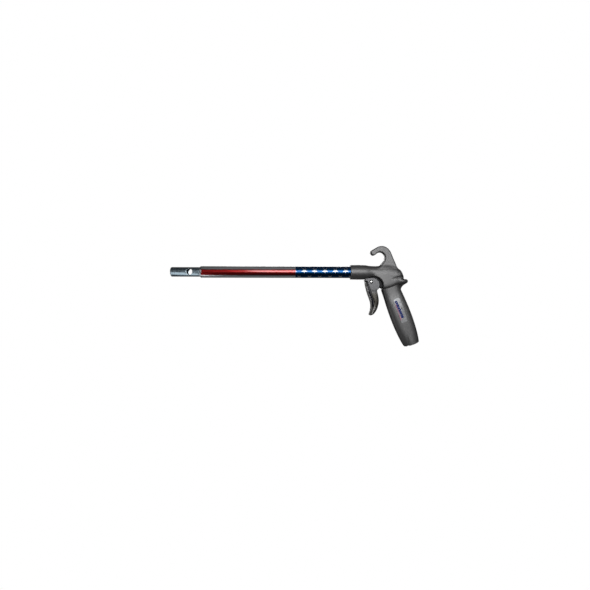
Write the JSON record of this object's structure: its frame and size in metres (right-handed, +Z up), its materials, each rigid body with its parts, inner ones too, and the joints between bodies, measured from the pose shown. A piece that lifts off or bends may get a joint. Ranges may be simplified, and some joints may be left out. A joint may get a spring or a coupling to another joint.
{
  "type": "air blow gun",
  "caption": "Hand-held compressed-air blow gun: pistol-grip casting with hang hook, sprung trigger and valve, long sleeved extension and vented nozzle.",
  "frame": {"origin": "centre of the air inlet's mouth, at the foot of the grip", "axes": "-X along the barrel towards the nozzle, +Z up with the barrel level, Y across the gun; the casting is symmetrical about the XZ plane"},
  "size_m": [0.4166, 0.0251, 0.1688],
  "materials": {
    "cast_body": "textured dark grey powder coat",
    "cap_plug": "textured dark grey powder coat",
    "trigger_metal": "plated zinc casting, satin cheeks and polished blade",
    "pin_steel": "bright steel",
    "spring_steel": "drawn wire",
    "valve_steel": "turned stainless",
    "brass": "turned",
    "seal_rubber": "black nitrile",
    "pipe_aluminium": "mill finish",
    "sleeve_aluminium": "drawn tube",
    "star_film": "metallic blue film with white stars",
    "stripe_film": "metallic red and silver lengthwise stripes",
    "bush_metal": "turned",
    "nozzle_zinc": "zinc-plated, blue-grey",
    "label_film": "silver label with plain colour bars"
  },
  "bodies": {
    "gun": {"body_casting": "cast_body", "valve_cap": "cap_plug", "cap_o_ring": "seal_rubber", "valve_seat": "brass", "seat_o_ring": "seal_rubber", "stem_gland": "brass", "stem_o_ring": "seal_rubber", "return_spring": "spring_steel", "trigger_pin": "pin_steel", "pin_retaining_ring": "spring_steel", "air_pipe": "pipe_aluminium", "pipe_o_ring": "seal_rubber", "outer_sleeve": "sleeve_aluminium", "star_wrap": "star_film", "stripe_wrap": "stripe_film", "front_bush": "bush_metal", "nozzle": "nozzle_zinc", "nozzle_jet": "brass", "label_plate": "label_film"},
    "trigger": {"trigger": "trigger_metal"},
    "stem": {"valve_stem": "valve_steel", "poppet_seal": "seal_rubber", "poppet_retainer": "brass"}
  },
  "joints": [
    {"name": "trigger_pull", "type": "hinge", "parent": "gun", "child": "trigger", "pos_m": [-0.0691, 0, 0.1038], "axis": [0, -1, 0], "range_deg": [0, 10], "stiffness_Nm_per_rad": 0.089, "springref_deg": -44.4},
    {"name": "valve_lift", "type": "slide", "parent": "gun", "child": "stem", "axis": [0.9135, 0, 0.4067], "range_m": [0, 0.00155], "deforming": ["return_spring"]}
  ],
  "couplings": [
    {"joint": "valve_lift", "follows": "trigger_pull", "m_per_rad": 0.00868}
  ]
}
